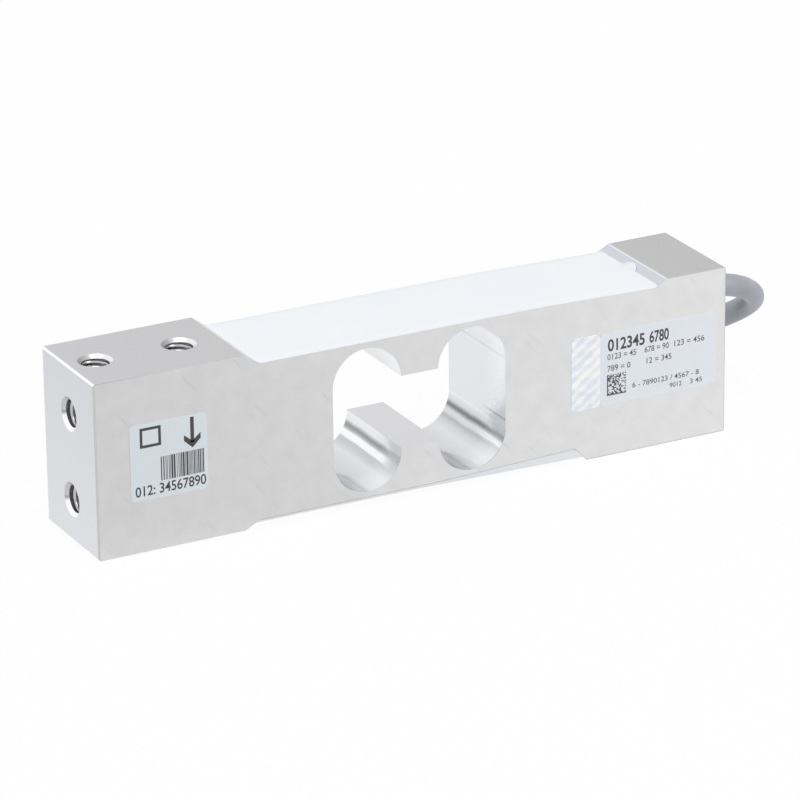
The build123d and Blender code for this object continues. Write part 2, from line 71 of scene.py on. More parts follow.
# Block: its faces, and the places of its holes and edges, in metres
BLOCK_LOW, BLOCK_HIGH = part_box("spring_body")
FRONT = BLOCK_LOW.y
LOAD_TOP = BLOCK_HIGH.z
HOLE_INSET = 6.35 * MM
HOLE_PITCH = 19.05 * MM
END_ROW_MIDDLE = 19.3 * MM
PAD_LENGTH = 34.0 * MM
SLOPE_EDGE = 60.15 * MM

# Underside along X: each rise or fall starts and ends here, by so much
UNDERSIDE_STEPS = [
    (-41.3 * MM, -37.35 * MM, 2.1 * MM),
    (5.0 * MM, 37.5 * MM, 0.9 * MM),
    (37.5 * MM, 40.5 * MM, -3.0 * MM),
]

# Window: the middles and radius of its eyes, and the box that it lies in
EYE_MIDDLE = 12.45 * MM
EYE_RADIUS = 8.05 * MM
LOWER_EYE = 11.5 * MM
WINDOW_HALF_LENGTH = 21.0 * MM
WINDOW_LOW = 3.2 * MM
WINDOW_HIGH = 36.0 * MM

# Ways that a face looks, as spans of its normal's part along an axis: a mask rises over each of
# the first three, and is full within the next two
SQUARE_ON = (0.9, 0.99)
WINDOW_FLOOR = (0.8, 0.9)
SLOPE_START = (0.8, 0.82)
CABLE_SLOPE = (0.78, 0.89)
HALF_TURNED = (0.65, 0.75)
SIDEWAYS = 0.5

# How soft the ends of masks are: for normals, round the window, and in finer places
NORMAL_SOFTNESS = 0.01
MASK_SOFTNESS = 0.2 * MM
FINE_SOFTNESS = 0.05 * MM

# Metal: tints from dark to light, from the load end to the cable end, or from low to high;
# the sides are painted lighter towards the cable end
METAL_TINT = (0.68, 0.68, 0.68)
METAL_ROUGHNESS = 0.36
ROUGHNESS_SPAN = (0.34, 0.46)
LOAD_SIDE_TINTS = ((0.645, 0.647, 0.645), (0.69, 0.692, 0.69))
CABLE_SIDE_TINTS = ((0.735, 0.737, 0.737), (0.78, 0.782, 0.782))
# Painted light on the end face: a cooler tint, lighter towards the bottom
END_TINTS = ((0.76, 0.772, 0.795), (0.695, 0.708, 0.738))
# Painted shade on the milled tops: darker than the sides, and darker towards the cable end
TOP_TINTS = ((0.568, 0.568, 0.58), (0.5, 0.5, 0.5))
# Painted shade on the slope, in a tint of its own for the way it faces
SLOPE_TINT = (0.64, 0.652, 0.705)
WALL_TINT = (0.802, 0.814, 0.84)
# Painted shade where the window's floor faces up
WINDOW_FLOOR_SHADE = (0.66, 0.66, 0.675)
# Painted shade inside the tapped holes
HOLE_SHADE = (0.34, 0.34, 0.36)
CLOUD_SCALE = 240.0
GRAIN_SCALE = 1400.0
GRAIN_SHARE = 0.6
CLOUD_SHARE = 0.25
GRAIN_BUMP = 0.1
GRAIN_HEIGHT = 0.04 * MM

# Scratches on the blasted sides: their size, how far they are drawn out, their slant and depth
SCRATCH_SCALE = 620.0
SCRATCH_STRETCH = (0.16, 1.0, 1.3)
SCRATCH_SLANT = math.radians(-50)
SCRATCH_SHARE = 0.16
SCRATCH_LEVELS = (0.64, 0.74)
SCRATCH_TINT = (0.4, 0.4, 0.41)

# Light and dark bands along the lower arcs, painted in place of reflections and fitted one by one:
# angle from the eye's middle, and how light
LEFT_BANDS = [
    (-180, 0.64),
    (-100, 0.64),
    (-80, 0.69),
    (-58, 0.77),
    (-46, 0.62),
    (-40, 0.6),
    (-37, 0.98),
    (-29, 1.0),
    (-25, 0.5),
    (-20, 0.31),
    (-17, 0.45),
    (-12, 0.84),
    (0, 0.9),
]
RIGHT_BANDS = [
    (-180, 0.62),
    (-100, 0.63),
    (-80, 0.69),
    (-58, 0.77),
    (-46, 0.68),
    (-37, 0.5),
    (-32, 0.72),
    (-27, 0.74),
    (-20, 0.22),
    (-17, 0.28),
    (-12, 0.7),
    (0, 0.88),
]
ARC_BELT = (EYE_RADIUS - 0.3 * MM, EYE_RADIUS + 0.1 * MM)
BAND_TINT = (0.955, 0.975, 1.0)
BAND_WOBBLE = 0.005
BAND_WOBBLE_SCALE = 120.0
BAND_SLANT = 0.45

# Painted near the front too: part of the left arc fades to grey, the right arc has a white glint
GREY_SPAN = (0.76, 0.9)
GREY_SOFTNESS = 0.02
GREY_DEPTH = (2.5 * MM, 6.5 * MM)
GREY_TINT = (0.52, 0.52, 0.52)
GLINT_SPAN = (0.82, 0.855)
GLINT_SOFTNESS = 0.01
GLINT_DEPTH = (3.0 * MM, 12.0 * MM)
GLINT_TINT = (0.92, 0.92, 0.92)

# The window's walls are painted lighter near the front
MOUTH_SHARE = 0.4
MOUTH_SPAN = (FRONT + 2 * MM, FRONT + 9 * MM)

# Dark lines across the window's walls where they meet its eyes: a faint one above, a short one below
UPPER_MARK = 27.1 * MM
LOWER_MARK = 13.0 * MM
MARK_WIDTH = 0.3 * MM
MARK_LENGTH = 1.5 * MM
UPPER_MARK_SOFTNESS = 0.5 * MARK_WIDTH
LOWER_MARK_SOFTNESS = 0.7 * MARK_WIDTH
UPPER_MARK_SHARE = 0.14
LOWER_MARK_SHARE = 0.4
LOWER_MARK_FADE = (FRONT + 5 * MM, FRONT + 11 * MM)
MARK_TINT = (0.2, 0.2, 0.22)

# Cut edges at 45 degrees: how light they are painted, by how far they face left and up
TOP_CUT_LEVELS = [(0.0, 0.3), (0.35, 0.44), (0.6, 0.52), (1.0, 0.86)]
END_CUT_LEVELS = [(0.0, 0.55), (0.5, 0.58), (0.6, 0.36), (0.7, 0.95), (1.0, 1.0)]

# How much smoother the window's walls and the cut edges are, and how much flatter the tops' grain
WINDOW_SMOOTHER = 0.2
CUT_SMOOTHER = 0.05
TOP_FLATTER = 0.6

# Fine lines: dark ones of painted shade along the front edges, and a painted highlight at the top of the
# slope
EDGE_LINE = 0.13 * MM
EDGE_SHARE = 0.35
EDGE_SHADE = (0.2, 0.2, 0.21)
LINE_SOFTNESS = 0.02 * MM
PAD_LINE_LENGTH = 0.6 * PAD_LENGTH
LOW_LINE = (0.5 * EDGE_LINE, 2.5 * EDGE_LINE)
ARC_LINE_SPAN = (0.62, 0.97)
ARC_LINE_SOFTNESS = 0.03
SLOPE_LINE_SOFTNESS = 0.15 * MM
SLOPE_HIGHLIGHT = (0.8, 0.8, 0.85)

# Screw threads: M6, the ridge of an internal thread between its major and minor radius
THREAD_MAJOR = 3.0 * MM
THREAD_MINOR = 2.5 * MM
THREAD_PITCH = 1.0 * MM
THREAD_STEPS = 36
THREAD_MOUTH = 0.75 * MM
THREAD_ROOT_SHARE = 0.44
THREAD_CREST_SHARE = 0.08
THREAD_LEAST = 0.02
HOLE_REACH = 1.1 * THREAD_MAJOR
TOP_THREAD = 6.1 * MM
END_THREAD = 13.0 * MM

# Top compound, in millimetres: its surface and its floor along X, and the soft shoulders
COMPOUND_LINE = [(-37.97, 37.5), (30.0, 37.32), (58.07, 36.7)]
RECESS_LINE = [(-37.3, 37.1), (30.0, 37.1), (57.46, 36.35)]
SHOULDER_WIDTH = 2.6
SHOULDER_DROP = 0.28
SHOULDER_LEAST = 0.05
CORNER_WIDTH = 1.5
CORNER_BACK = 0.45
EDGE_ROUND = 0.12
EDGE_SINK = 0.5 * EDGE_ROUND
MENISCUS_LENGTH = 1.2
MENISCUS_RISE = 0.07
COMPOUND_COLUMNS = 90
COMPOUND_ROWS = 40
GAUGE_POCKET = ((-20.0, -9.0, 36.6), (24.0, 9.0, 37.2))
BOARD_POCKET = ((24.0, -7.0, 31.4), (55.2, 7.0, 36.5))

# Plug in the wiring shaft: it climbs where the shaft breaks the slope, and each ring of its top
# has a share of the radius and a drop from the middle
SHAFT_PLACE = (55.2, 0.0)
SHAFT_RADIUS = 3.97
PLUG_ROUND = 0.2
PLUG_CLIMB = 0.75
PLUG_CLIMB_START = 57.6
PLUG_STEPS = 36
PLUG_RINGS = [(1.0, PLUG_ROUND), (0.95, 0.3 * PLUG_ROUND), (0.85, 0.0), (0.4, 0.0)]

# Compound: tints of its face from dark to light, and painted shade on the long sides of both fillings
POTTING_TINTS = ((0.91, 0.945, 0.985), (0.95, 0.97, 0.995))
TOP_SIDE_SHADE = (0.8, 0.85, 0.93)
BOTTOM_SIDE_SHADE = (0.78, 0.8, 0.83)

# Labels: the ink stands just proud of their face. A box is left, right, low and high, and these
# sizes are in millimetres where no unit is given
LABEL_FACE = FRONT - 0.1 * MM
INK_LIFT = 0.012 * MM
SERIAL_BARS = (-60.4, -50.3, 15.7, 21.0)
BAR_WIDTHS = (0.14, 0.14, 0.26, 0.4)
BAR_GAPS = (0.14, 0.16, 0.28)
LAST_BAR_ROOM = 0.3
BARS_SEED = 5
SERIAL_SQUARE = (-65.0, -60.2, 23.6, 28.0)
SQUARE_LINE = 0.6
RATING_BLOCK = (45.3, 50.0, 13.8, 18.6)
BLOCK_CELLS = 16
CELL_FILL = 0.98
DARK_CELLS = 0.48
CELLS_SEED = 11
TEXT_HALF_DEPTH = 0.5

# Arrow on the serial label, in millimetres
ARROW_X = -53.1
ARROW_TOP = 28.4
ARROW_KNEE = 22.8
ARROW_TIP = 21.6
ARROW_HALF_LINE = 0.42
BARB_REACH = 1.9
BARB_INNER_RISE = 1.5
BARB_LOWER_RISE = 1.8
BARB_UPPER_RISE = 3.1

# Print: each line's name, text, left end, right end, foot and height in millimetres, and weight
LARGE_WEIGHT = 0.022
SERIAL_WEIGHT = 0.012
SMALL_WEIGHT = 0.006
BLACK_PRINT = [
    ("serial_digits", "012: 34567890", -66.3, -50.2, 12.95, 2.3, SERIAL_WEIGHT),
    ("rating_digits_1", "012345", 45.5, 54.6, 23.95, 2.75, LARGE_WEIGHT),
    ("rating_digits_2", "6780", 55.8, 60.6, 24.0, 2.75, LARGE_WEIGHT),
]
GREY_PRINT = [
    ("rating_digits_3", "0123 = 45", 45.4, 52.5, 22.0, 1.35, SMALL_WEIGHT),
    ("rating_digits_4", "678 = 90", 54.6, 60.6, 22.05, 1.35, SMALL_WEIGHT),
    ("rating_digits_5", "123 = 456", 62.0, 69.5, 22.1, 1.35, SMALL_WEIGHT),
    ("rating_digits_6", "789 = 0", 45.4, 51.1, 19.35, 1.35, SMALL_WEIGHT),
    ("rating_digits_7", "12 = 345", 55.1, 61.3, 19.4, 1.35, SMALL_WEIGHT),
    ("rating_digits_8", "6 - 7890123 / 4567 - 8", 51.6, 68.2, 14.55, 1.2, SMALL_WEIGHT),
    ("rating_digits_9", "9012", 60.9, 63.9, 12.75, 1.1, SMALL_WEIGHT),
    ("rating_digits_10", "3 45", 66.0, 69.0, 12.75, 1.1, SMALL_WEIGHT),
]

# Paper: tints from dark to light, at the load end and at the cable end: painted light, lighter towards the
# cable end
LOAD_PAPER_TINTS = ((0.69, 0.745, 0.792), (0.7, 0.755, 0.802))
CABLE_PAPER_TINTS = ((0.79, 0.825, 0.88), (0.8, 0.835, 0.89))

# Strip beside the rating label: slanted stripes, weaker ones that cross them, and their tints
STRIPE_PITCH = 2.4 * MM
STRIPE_SLANT = 0.72
CROSS_PITCH = 3.1 * MM
CROSS_SLANT = 0.3
CROSS_SHARE = 0.5
STRIPE_BLUE = (0.74, 0.8, 0.88)
STRIPE_MIDDLE = (0.86, 0.89, 0.93)
STRIPE_WARM = (0.98, 0.975, 0.93)

# Cable: the route of the CAD tube, then the folds of the hank and the curve of its tail
CABLE_DIAMETER = 5.0 * MM
ROUND_STEPS = 8
CURVE_STEPS = 8
CABLE_ROUTE = [
    (75.0, 0.0, 29.0),
    (83.1, 0.0, 29.0),
    (93.2, 3.5, 23.1),
    (93.7, 12.0, 16.5),
    (83.5, 17.0, 12.6),
    (75.0, 17.0, 6.5),
    (66.5, 17.0, 3.0),
]
HANK_WEST = Vector((61.5, 37.0, 0.0)) * MM
HANK_EAST = Vector((79.5, 37.0, 0.0)) * MM
LOWER_LEVEL = 3.0 * MM
UPPER_LEVEL = 8.0 * MM
FOLD_STEP_DEG = 20.0
# Each fold: side, outward shift of its middle, radius, height at its start and at its end
FOLDS = [
    ("west", 0.0, 20.0 * MM, LOWER_LEVEL, LOWER_LEVEL),
    ("east", 2.5 * MM, 17.5 * MM, LOWER_LEVEL, LOWER_LEVEL),
    ("west", 0.0, 15.0 * MM, LOWER_LEVEL, LOWER_LEVEL),
    ("east", 0.0, 15.0 * MM, 5.2 * MM, UPPER_LEVEL),
    ("west", 0.0, 15.0 * MM, UPPER_LEVEL, UPPER_LEVEL),
]
CABLE_TAIL = [
    (65.5, 52.0, 8.0),
    (71.0, 50.0, 8.1),
    (75.6, 46.2, 7.2),
    (78.1, 41.9, 5.8),
]

# Leads beyond the jacket: the shield lead lies in the middle of the six cores
CORE_COLOURS = {
    "core_red": (0.5, 0.04, 0.04),
    "core_black": (0.02, 0.02, 0.02),
    "core_green": (0.04, 0.3, 0.1),
    "core_white": (0.8, 0.8, 0.78),
    "core_blue": (0.04, 0.11, 0.42),
    "core_brown": (0.22, 0.1, 0.05),
}
SHIELD_COLOUR = (0.7, 0.69, 0.66)
LEAD_DIAMETER = 1.1 * MM
LEAD_PITCH = 1.2 * MM
LEAD_LENGTH = 13.0 * MM
LEAD_STRAIGHT = 1.5 * MM
LEAD_LANDING = 8.0 * MM
LEAD_FAN_DEG = 11.0
TIP_LENGTH = 4.0 * MM
TIP_DIAMETER = 0.7 * MM


def new_material(name, colour, roughness, metallic=0.0):
    """Material with a plain shader, ready for detail."""
    material = bpy.data.materials.new(name)
    material.use_nodes = True
    shader = material.node_tree.nodes["Principled BSDF"]
    shader.inputs["Base Color"].default_value = (*colour, 1)
    shader.inputs["Roughness"].default_value = roughness
    shader.inputs["Metallic"].default_value = metallic
    return material


class Graph:
    """Short ways to add shader nodes to one material."""

    def __init__(self, material):
        self.nodes = material.node_tree.nodes
        self.links = material.node_tree.links
        self.shader = self.nodes["Principled BSDF"]

    def add(self, kind, **settings):
        node = self.nodes.new(kind)
        for key, value in settings.items():
            setattr(node, key, value)
        return node

    def join(self, source, target):
        self.links.new(source, target)

    def place(self):
        """Position in the object, in metres."""
        return self.add("ShaderNodeTexCoord").outputs["Object"]

    def stretched(self, scale, turn):
        """Position turned about each axis, then scaled along it."""
        turned = self.add("ShaderNodeMapping")
        turned.inputs["Rotation"].default_value = turn
        self.join(self.place(), turned.inputs["Vector"])
        scaled = self.add("ShaderNodeMapping")
        scaled.inputs["Scale"].default_value = scale
        self.join(turned.outputs["Vector"], scaled.inputs["Vector"])
        return scaled.outputs["Vector"]

    def noise(self, scale, detail=2.0, vector=None):
        node = self.add("ShaderNodeTexNoise")
        node.inputs["Scale"].default_value = scale
        node.inputs["Detail"].default_value = detail
        self.join(vector or self.place(), node.inputs["Vector"])
        return node.outputs["Fac"]

    def spread(self, value, low, high, start=0.3, end=0.7):
        """A value between start and end mapped to a range, and held at its ends."""
        node = self.add("ShaderNodeMapRange")
        node.inputs["From Min"].default_value = start
        node.inputs["From Max"].default_value = end
        node.inputs["To Min"].default_value = low
        node.inputs["To Max"].default_value = high
        self.join(value, node.inputs["Value"])
        return node.outputs["Result"]

    def maths(self, operation, first, second=None):
        node = self.add("ShaderNodeMath", operation=operation)
        for index, value in enumerate((first, second)):
            if value is None:
                continue
            if isinstance(value, (int, float)):
                node.inputs[index].default_value = value
            else:
                self.join(value, node.inputs[index])
        return node.outputs["Value"]

    def over(self, value, limit):
        """1 above a limit, 0 below it."""
        return self.maths("GREATER_THAN", value, limit)

    def under(self, value, limit):
        """1 below a limit, 0 above it."""
        return self.maths("LESS_THAN", value, limit)

    def size(self, value):
        """A value without its sign."""
        return self.maths("ABSOLUTE", value)

    def opposite(self, mask):
        return self.maths("SUBTRACT", 1.0, mask)

    def either(self, first, second):
        """The larger of two masks."""
        return self.maths("MAXIMUM", first, second)

    def product(self, *values):
        result = values[0]
        for value in values[1:]:
            result = self.maths("MULTIPLY", result, value)
        return result

    def between(self, value, low, high, soft):
        """1 inside a range, 0 outside it, with soft ends."""
        rise = self.spread(value, 0.0, 1.0, low - soft, low)
        fall = self.spread(value, 1.0, 0.0, high, high + soft)
        return self.product(rise, fall)

    def mix(self, factor, first, second):
        """Colour between two colours or colour outputs."""
        node = self.add("ShaderNodeMix", data_type="RGBA")
        for name, value in (("Factor", factor), ("A", first), ("B", second)):
            target = [s for s in node.inputs if s.name == name and s.enabled][0]
            if isinstance(value, tuple):
                target.default_value = (*value, 1)
            else:
                self.join(value, target)
        return [s for s in node.outputs if s.enabled][0]

    def ramp(self, value, stops):
        """Grey level between stops, given as place and level."""
        node = self.add("ShaderNodeValToRGB")
        elements = node.color_ramp.elements
        while len(elements) < len(stops):
            elements.new(0.5)
        for element, (place, level) in zip(elements, stops):
            element.position = place
            element.color = (level, level, level, 1)
        self.join(value, node.inputs["Fac"])
        return node.outputs["Color"]

    def axis(self, source, name):
        node = self.add("ShaderNodeSeparateXYZ")
        self.join(source, node.inputs["Vector"])
        return node.outputs[name]

    def bump(self, height, strength, distance):
        """Fine relief; its strength is a number or an output."""
        node = self.add("ShaderNodeBump")
        if isinstance(strength, float):
            node.inputs["Strength"].default_value = strength
        else:
            self.join(strength, node.inputs["Strength"])
        node.inputs["Distance"].default_value = distance
        self.join(height, node.inputs["Height"])
        self.join(node.outputs["Normal"], self.shader.inputs["Normal"])


class BlockGraph(Graph):
    """Graph for the block's metal: where a place is, and which way its face looks."""

    def __init__(self, material):
        super().__init__(material)
        place = self.place()
        self.x, self.y, self.z = (self.axis(place, name) for name in "XYZ")
        geometry = self.add("ShaderNodeNewGeometry").outputs
        self.face_x, self.face_y, self.face_z = (self.axis(geometry["True Normal"], name) for name in "XYZ")
        self.soft_x, self.soft_z = (self.axis(geometry["Normal"], name) for name in "XZ")
        self.from_middle = self.size(self.x)
        self.along_block = self.spread(self.x, 0.0, 1.0, BLOCK_LOW.x, BLOCK_HIGH.x)
        self.depth = self.maths("SUBTRACT", self.y, FRONT)
        self.cable_half = self.over(self.x, 0.0)
        self.window_floor = self.spread(self.face_z, 0.0, 1.0, *WINDOW_FLOOR)
        self.clear_of_ends = self.under(self.from_middle, BLOCK_HIGH.x - THREAD_MOUTH)


def make_camera():
    data = bpy.data.cameras.new("camera")
    data.lens = CAMERA_LENS
    data.sensor_width = CAMERA_SENSOR
    data.clip_end = CAMERA_REACH
    camera = bpy.data.objects.new("camera", data)
    camera.location = CAMERA_PLACE
    camera.rotation_mode = "QUATERNION"
    camera.rotation_quaternion = CAMERA_TURN
    bpy.context.scene.collection.objects.link(camera)
    bpy.context.scene.camera = camera


def seen_directly(nodes, links):
    """1 for rays from the camera, a gloss or a glass."""
    path = nodes.new("ShaderNodeLightPath")
    first = nodes.new("ShaderNodeMath")
    first.operation = "MAXIMUM"
    links.new(path.outputs["Is Camera Ray"], first.inputs[0])
    links.new(path.outputs["Is Glossy Ray"], first.inputs[1])
    second = nodes.new("ShaderNodeMath")
    second.operation = "MAXIMUM"
    links.new(first.outputs[0], second.inputs[0])
    links.new(path.outputs["Is Transmission Ray"], second.inputs[1])
    return second.outputs[0]


def make_world():
    world = bpy.data.worlds.new("studio")
    bpy.context.scene.world = world
    world.use_nodes = True
    nodes, links = world.node_tree.nodes, world.node_tree.links
    background = nodes["Background"]
    background.inputs["Color"].default_value = (*WHITE, 1)
    level = nodes.new("ShaderNodeMapRange")
    level.inputs["To Min"].default_value = WORLD_LEVEL
    level.inputs["To Max"].default_value = BACKGROUND_LEVEL
    links.new(seen_directly(nodes, links), level.inputs["Value"])
    links.new(level.outputs["Result"], background.inputs["Strength"])


def make_floor():
    """White paper, which glows where it is seen directly, so that only a faint shadow stays."""
    mesh = bpy.data.meshes.new("floor")
    half = FLOOR_SIZE / 2
    corners = [(x, y, -FLOOR_DROP) for x, y in ((-half, -half), (half, -half), (half, half), (-half, half))]
    mesh.from_pydata(corners, [], [(0, 1, 2, 3)])
    floor = bpy.data.objects.new("floor", mesh)
    bpy.context.scene.collection.objects.link(floor)
    material = new_material("floor_paper", FLOOR_COLOUR, FLOOR_ROUGHNESS)
    nodes, links = material.node_tree.nodes, material.node_tree.links
    shader = nodes["Principled BSDF"]
    shader.inputs["Specular IOR Level"].default_value = 0.0
    glow = nodes.new("ShaderNodeEmission")
    glow.inputs["Strength"].default_value = BACKGROUND_LEVEL
    share = nodes.new("ShaderNodeMath")
    share.operation = "MULTIPLY"
    share.inputs[1].default_value = FLOOR_GLOW
    links.new(seen_directly(nodes, links), share.inputs[0])
    blend = nodes.new("ShaderNodeMixShader")
    links.new(share.outputs[0], blend.inputs["Fac"])
    links.new(shader.outputs["BSDF"], blend.inputs[1])
    links.new(glow.outputs["Emission"], blend.inputs[2])
    links.new(blend.outputs["Shader"], nodes["Material Output"].inputs["Surface"])
    mesh.materials.append(material)


def make_lamp(name, place, target, size, power):
    data = bpy.data.lights.new(name, "AREA")
    data.shape = "SQUARE"
    data.size = size
    data.energy = power
    lamp = bpy.data.objects.new(name, data)
    lamp.location = place
    direction = Vector(target) - Vector(place)
    lamp.rotation_mode = "QUATERNION"
    lamp.rotation_quaternion = direction.to_track_quat("-Z", "Y")
    bpy.context.scene.collection.objects.link(lamp)


def make_lights():
    for name, (place, target, size, power) in LAMPS.items():
        make_lamp(name, place, target, size, power)


def outer_tint(graph, cloud):
    """Blasted sides with fine scratches, painted lighter towards the cable end; an end face painted in a
    cooler tint, lighter towards the bottom; milled tops and slope painted darker.
    """
    slanted = graph.stretched(SCRATCH_STRETCH, (0.0, SCRATCH_SLANT, 0.0))
    scratches = graph.spread(graph.noise(SCRATCH_SCALE, vector=slanted), 0.0, SCRATCH_SHARE, *SCRATCH_LEVELS)
    load_side = graph.mix(cloud, *LOAD_SIDE_TINTS)
    cable_side = graph.mix(cloud, *CABLE_SIDE_TINTS)
    # Painted light: the sides are lighter towards the cable end
    side = graph.mix(graph.along_block, load_side, cable_side)
    side = graph.mix(scratches, side, SCRATCH_TINT)
    # Painted light: the end face is lighter towards the bottom
    end = graph.mix(graph.spread(graph.z, 0.0, 1.0, 0.0, LOAD_TOP), *END_TINTS)
    starts, full = SQUARE_ON
    tint = graph.mix(graph.spread(graph.face_x, 1.0, 0.0, -full, -starts), side, end)
    # Painted shade: the tops are darker towards the cable end
    top = graph.mix(graph.along_block, *TOP_TINTS)
    tint = graph.mix(graph.spread(graph.face_z, 0.0, 1.0, *SQUARE_ON), tint, top)
    # Painted shade on the slope, by the way it faces
    slope = graph.product(graph.between(graph.face_z, *CABLE_SLOPE, NORMAL_SOFTNESS), graph.cable_half)
    return graph.mix(slope, tint, SLOPE_TINT)


def window_mask(graph):
    """1 on the walls of the window, 0 elsewhere."""
    inward = graph.under(graph.size(graph.face_y), SIDEWAYS)
    near = graph.spread(graph.from_middle, 1.0, 0.0, WINDOW_HALF_LENGTH, WINDOW_HALF_LENGTH + MASK_SOFTNESS)
    level = graph.between(graph.z, WINDOW_LOW, WINDOW_HIGH, MASK_SOFTNESS)
    return graph.product(inward, near, level)


def nearer_eye(graph):
    """Distance from the middle of the nearer lower eye, and the angle round it."""
    middle = graph.maths("MULTIPLY", graph.maths("SIGN", graph.x), EYE_MIDDLE)
    beside = graph.maths("SUBTRACT", graph.x, middle)
    above = graph.maths("SUBTRACT", graph.z, LOWER_EYE)
    squares = graph.maths("ADD", graph.product(beside, beside), graph.product(above, above))
    return graph.maths("SQRT", squares), graph.maths("ARCTAN2", above, beside)


def arc_share(graph, angle):
    """How far round the lower half of an eye a place is, from 0 to 1, with the bands' wobble and slant."""
    wobble = graph.spread(graph.noise(BAND_WOBBLE_SCALE), -BAND_WOBBLE, BAND_WOBBLE)
    share = graph.maths("ADD", graph.spread(angle, 0.0, 1.0, -math.pi, 0.0), wobble)
    slant = graph.product(graph.cable_half, graph.maths("MULTIPLY", graph.depth, BAND_SLANT))
    return graph.maths("ADD", share, slant)


def bore_bands(graph, share):
    """How light the lower arcs of both eyes are painted, in place of reflections."""
    left, right = (graph.ramp(share, [((degrees + 180) / 180, level) for degrees, level in bands])
                   for bands in (LEFT_BANDS, RIGHT_BANDS))
    grey = graph.product(graph.spread(graph.depth, 1.0, 0.0, *GREY_DEPTH),
                         graph.between(share, *GREY_SPAN, GREY_SOFTNESS))
    glint = graph.product(graph.spread(graph.depth, 1.0, 0.0, *GLINT_DEPTH),
                          graph.between(share, *GLINT_SPAN, GLINT_SOFTNESS))
    return graph.mix(graph.cable_half, graph.mix(grey, left, GREY_TINT), graph.mix(glint, right, GLINT_TINT))


def window_tint(graph, distance, share):
    """Light walls, painted darker where they face up, with painted bands on the lower arcs and a painted
    lighter mouth.
    """
    below_eye = graph.under(graph.z, LOWER_EYE)
    arc = graph.product(graph.between(distance, *ARC_BELT, FINE_SOFTNESS), below_eye)
    wall = graph.mix(graph.window_floor, WALL_TINT, WINDOW_FLOOR_SHADE)
    bands = graph.mix(bore_bands(graph, share), BLACK, BAND_TINT)
    web_top = graph.product(graph.window_floor, graph.over(graph.z, LOWER_EYE))
    mouth = graph.product(graph.spread(graph.y, MOUTH_SHARE, 0.0, *MOUTH_SPAN), graph.opposite(web_top))
    return graph.mix(mouth, graph.mix(arc, wall, bands), WHITE)


def dark_wall_lines(graph):
    """Dark lines across the window's walls where they meet its eyes."""
    upper = graph.between(graph.z, UPPER_MARK, UPPER_MARK + MARK_WIDTH, UPPER_MARK_SOFTNESS)
    lower = graph.between(graph.z, LOWER_MARK, LOWER_MARK + MARK_WIDTH, LOWER_MARK_SOFTNESS)
    fading = graph.spread(graph.y, LOWER_MARK_SHARE, 0.0, *LOWER_MARK_FADE)
    marks = graph.either(graph.maths("MULTIPLY", upper, UPPER_MARK_SHARE), graph.product(lower, fading))
    return graph.product(marks, graph.over(graph.from_middle, WINDOW_HALF_LENGTH - MARK_LENGTH))


def cut_edges(graph, tint):
    """Tint with painted light and shade on the countersinks and the ends' chamfers, by which way they face,
    and the mask of these cut edges.
    """
    slope = graph.spread(graph.maths("SUBTRACT", graph.soft_z, graph.soft_x), 0.0, 1.0, 0.0, math.sqrt(2))
    top_cuts = graph.product(
        graph.between(graph.size(graph.face_z), *HALF_TURNED, NORMAL_SOFTNESS),
        graph.over(graph.z, LOAD_TOP - THREAD_MOUTH),
        graph.clear_of_ends,
    )
    end_cuts = graph.product(
        graph.between(graph.size(graph.face_x), *HALF_TURNED, NORMAL_SOFTNESS),
        graph.opposite(graph.clear_of_ends),
    )
    tint = graph.mix(top_cuts, tint, graph.ramp(slope, TOP_CUT_LEVELS))
    tint = graph.mix(end_cuts, tint, graph.ramp(slope, END_CUT_LEVELS))
    return tint, graph.either(top_cuts, end_cuts)


def hole_mask(graph):
    """1 on the walls of the tapped holes, which are in both pads, but not in the fixed one's top."""
    return graph.product(
        graph.under(graph.size(graph.y), HOLE_REACH),
        graph.clear_of_ends,
        graph.either(graph.under(graph.x, 0.0), graph.under(graph.z, END_THREAD)),
        graph.over(graph.from_middle, BLOCK_HIGH.x - PAD_LENGTH),
        graph.between(graph.z, THREAD_MOUTH, LOAD_TOP - THREAD_MOUTH, FINE_SOFTNESS),
    )


def painted_edge_lines(graph, tint, distance, share):
    """Tint with painted shade as dark lines along the front's edges, and a painted highlight at the top of
    the slope.
    """
    front = graph.under(graph.face_y, -SQUARE_ON[0])
    pad_edge = graph.product(
        graph.under(graph.y, FRONT + EDGE_LINE),
        graph.spread(graph.x, 1.0, 0.0, BLOCK_LOW.x, BLOCK_LOW.x + PAD_LINE_LENGTH),
        graph.over(graph.z, LOAD_TOP - EDGE_LINE),
    )
    line_end = EYE_RADIUS + EDGE_LINE
    arc_edge = graph.product(
        front,
        graph.spread(distance, 1.0, 0.0, line_end, line_end + LINE_SOFTNESS),
        graph.between(share, *ARC_LINE_SPAN, ARC_LINE_SOFTNESS),
        graph.under(graph.z, LOWER_EYE),
        graph.cable_half,
    )
    over_edge = graph.z
    for low_x, high_x, rise in UNDERSIDE_STEPS:
        over_edge = graph.maths("SUBTRACT", over_edge, graph.spread(graph.x, 0.0, rise, low_x, high_x))
    low_edge = graph.product(front, graph.spread(over_edge, 1.0, 0.0, *LOW_LINE))
    lines = graph.either(graph.either(pad_edge, arc_edge), low_edge)
    tint = graph.mix(graph.maths("MULTIPLY", lines, EDGE_SHARE), tint, EDGE_SHADE)
    slope_edge = graph.product(
        graph.spread(graph.face_z, 0.0, 1.0, *SLOPE_START),
        graph.between(graph.x, SLOPE_EDGE - EDGE_LINE, SLOPE_EDGE + EDGE_LINE, SLOPE_LINE_SOFTNESS),
    )
    return graph.mix(slope_edge, tint, SLOPE_HIGHLIGHT)


